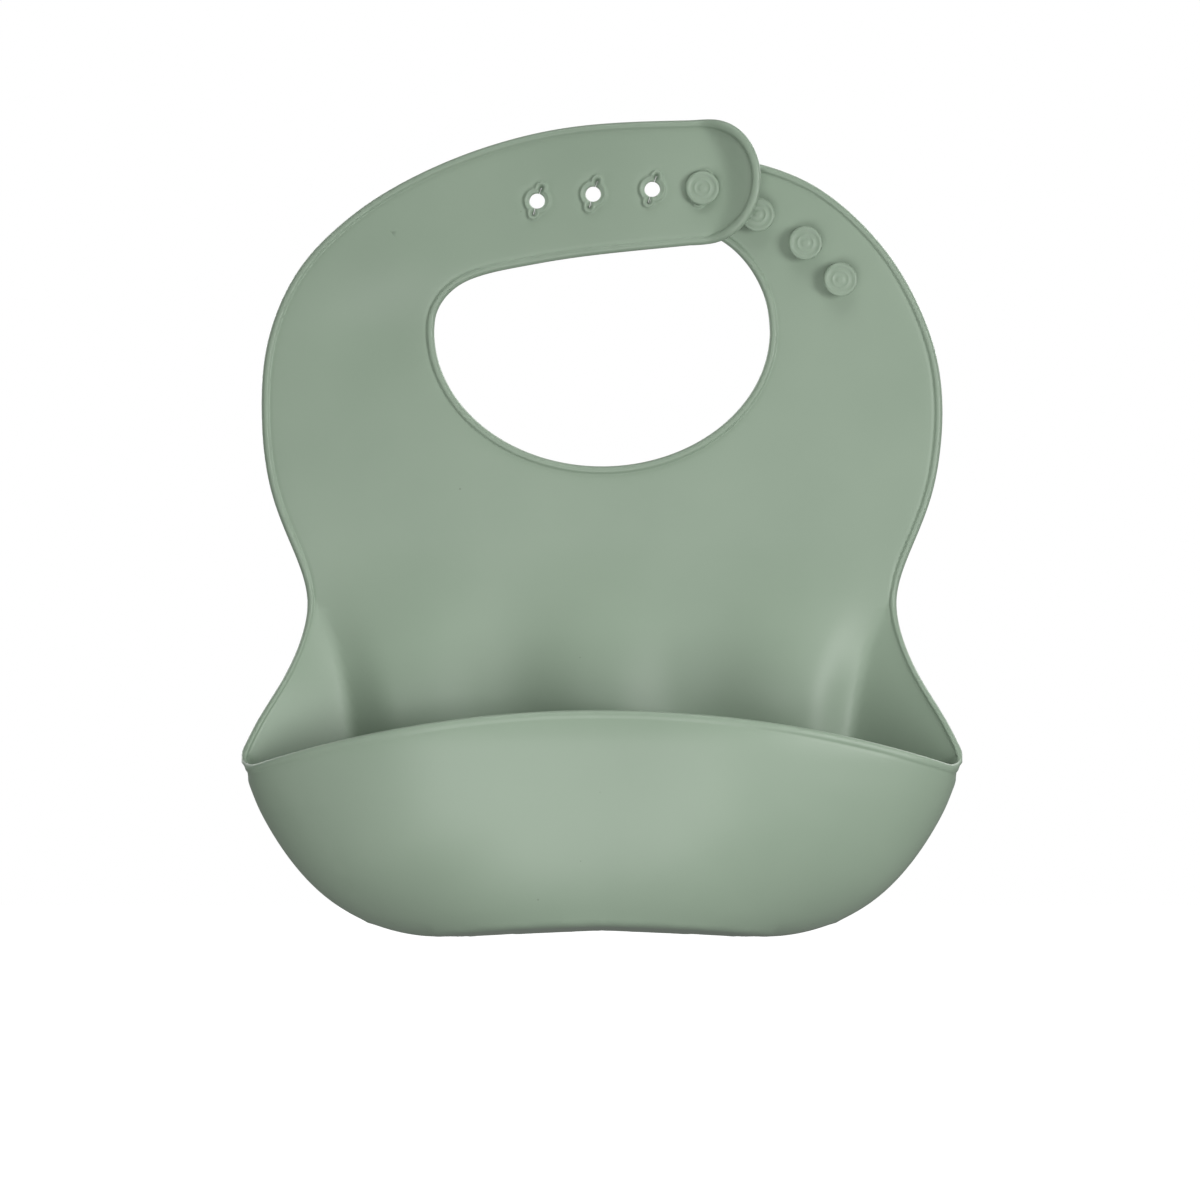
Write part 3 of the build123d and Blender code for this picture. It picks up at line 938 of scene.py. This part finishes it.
# Soft boxes close in front, the strongest from the right, and two behind for the edges and the back:
# name, azimuth, elevation, distance, size and power.
LIGHTS = [
    ("key", 44, 8, 0.90, 0.34, 3.8),
    ("front", -4, -10, 0.46, 0.28, 0.96),
    ("fill", -50, -24, 0.60, 0.40, 0.42),
    ("top", 0, 70, 0.75, 0.45, 1.45),
    ("back_right", 145, 30, 1.2, 0.8, 9.0),
    ("back_left", 215, 20, 1.2, 0.8, 9.0),
]
WHITE = (1, 1, 1, 1)
FLOOR_GREY = (0.85, 0.85, 0.85, 1)
ROOM_LIGHT = 0.145                       # the white around the bib, as light on it
FLOOR_HALF = 3.0
FLOOR_Z = -0.42


def add_camera():
    """A long lens straight in front of the bib."""
    data = bpy.data.cameras.new("camera")
    camera = bpy.data.objects.new("camera", data)
    bpy.context.scene.collection.objects.link(camera)
    data.sensor_width = SENSOR
    data.lens = LENS
    x, y, z = VIEW_CENTRE
    camera.location = (x, y - VIEW_WIDTH * LENS / SENSOR, z)
    camera.rotation_euler = (math.radians(90), 0, 0)
    bpy.context.scene.camera = camera


def add_light(name, azimuth, elevation, away, size, power):
    """A soft box at a direction from the bib: azimuth 0 is in front of it and 90 on its right."""
    a, e = math.radians(azimuth), math.radians(elevation)
    towards = Vector((math.sin(a) * math.cos(e), -math.cos(a) * math.cos(e), math.sin(e)))
    data = bpy.data.lights.new(name, "AREA")
    data.shape = "SQUARE"
    data.size = size
    data.energy = power
    light = bpy.data.objects.new(name, data)
    bpy.context.scene.collection.objects.link(light)
    light.location = Vector(LIGHT_AIM) + towards * away
    light.rotation_euler = (-towards).to_track_quat("-Z", "Y").to_euler()
    light.visible_camera = False


def add_world():
    """White to the camera, and a softer grey as light on the object."""
    world = bpy.data.worlds.new("studio")
    bpy.context.scene.world = world
    world.use_nodes = True
    nodes, links = world.node_tree.nodes, world.node_tree.links
    nodes.clear()
    output = nodes.new("ShaderNodeOutputWorld")
    path = nodes.new("ShaderNodeLightPath")
    mix = nodes.new("ShaderNodeMixShader")
    for socket, strength in ((1, ROOM_LIGHT), (2, 1.0)):
        background = nodes.new("ShaderNodeBackground")
        background.inputs["Color"].default_value = WHITE
        background.inputs["Strength"].default_value = strength
        links.new(background.outputs["Background"], mix.inputs[socket])
    links.new(path.outputs["Is Camera Ray"], mix.inputs["Fac"])
    links.new(mix.outputs["Shader"], output.inputs["Surface"])


def add_floor():
    """A pale floor below the hanging bib."""
    corners = [(-1, -1), (1, -1), (1, 1), (-1, 1)]
    mesh = bpy.data.meshes.new("floor")
    mesh.from_pydata([(FLOOR_HALF * x, FLOOR_HALF * y, FLOOR_Z) for x, y in corners], [], [(0, 1, 2, 3)])
    floor = bpy.data.objects.new("floor", mesh)
    bpy.context.scene.collection.objects.link(floor)
    material = bpy.data.materials.new("floor_white")
    material.use_nodes = True
    shader = material.node_tree.nodes["Principled BSDF"]
    shader.inputs["Base Color"].default_value = FLOOR_GREY
    shader.inputs["Roughness"].default_value = 0.9
    shader.inputs["Emission Color"].default_value = WHITE
    shader.inputs["Emission Strength"].default_value = 1.0
    floor.data.materials.append(material)
    floor.visible_diffuse = False
    floor.visible_glossy = False


# ---- the bib ----------------------------------------------------------------------------------
SEAM_BLEND = (1.2, 4.2)      # distances from the seam between which the smoothing fades
CORNER_BLEND = (2.0, 16.0)   # and from a corner of the mouth
SEAM_ROUNDS = 5
CORNER_ROUNDS = 4


def smooth_seam(surface):
    """Rounds the crease along the pocket's seam, and the corners of its mouth."""
    verts, faces = surface[0], surface[1]
    flat = verts[:, [0, 2]]
    gap = distance(flat, segments(seam_line()))
    from_crease = distance(flat, segments(crease_line()))
    gap = np.where(front_verts(surface), np.minimum(gap, from_crease), gap)
    from_corner = np.hypot(np.abs(flat[:, 0]) - SEAM[0][0], flat[:, 1] - SEAM[0][1])
    weight = 1 - step_up(gap, *SEAM_BLEND)
    verts = relax(verts, faces, weight, SEAM_ROUNDS)
    verts = relax(verts, faces, weight * (1 - step_up(from_corner, *CORNER_BLEND)), CORNER_ROUNDS)
    return (verts, *surface[1:])


def piece_masks(surface):
    """Which triangles each soft piece takes."""
    verts, faces, kinds = surface[0], surface[1], surface[2]
    z = verts[faces][:, :, 2].mean(1)
    main = kinds == 0
    return {
        "upper_sheet": main & (z > CHEST_SEAM_Z),
        "waist_sheet": main & (z <= CHEST_SEAM_Z) & (z > POCKET_SEAM_Z),
        "catch_pocket": (main & (z <= POCKET_SEAM_Z)) | (kinds == 2),
        "buttoned_strap": kinds == 1,
    }


def build_bib(material):
    """The four soft pieces by name; the studs are made and handed over here."""
    surface = smooth_seam(build_surface())
    both = skins(surface)
    made = {name: make_piece(name, surface, both, chosen) for name, chosen in piece_masks(surface).items()}
    for number, centre in enumerate(STUDS, start=1):
        button = make_stud(f"stud_{number}", centre)
        button.data.materials.append(material)
        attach(button, "neck_loop")
        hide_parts(f"stud_{number}")
    for piece in made.values():
        piece.data.materials.append(material)
    return made


bib = build_bib(silicone("sage_silicone"))
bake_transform(bib["upper_sheet"])
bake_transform(bib["buttoned_strap"])
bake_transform(bib["waist_sheet"])
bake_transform(bib["catch_pocket"])
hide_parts("chest_panel", "neck_rim_bead", "chest_left_edge_bead",
            "chest_right_edge_bead", "left_shoulder", "left_shoulder_bead", "right_strap", "right_strap_bead")
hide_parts("left_strap", "left_strap_bead",
            *[f"keyhole_collar_{n}" for n in (1, 2, 3, 4)])
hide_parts("pocket_back_panel")
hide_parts("pocket_floor", "left_gusset", "right_gusset", "pocket_front_wall",
            "pocket_lip")

bpy.context.scene.view_settings.view_transform = "Standard"
add_camera()
add_world()
add_floor()
for light in LIGHTS:
    add_light(*light)
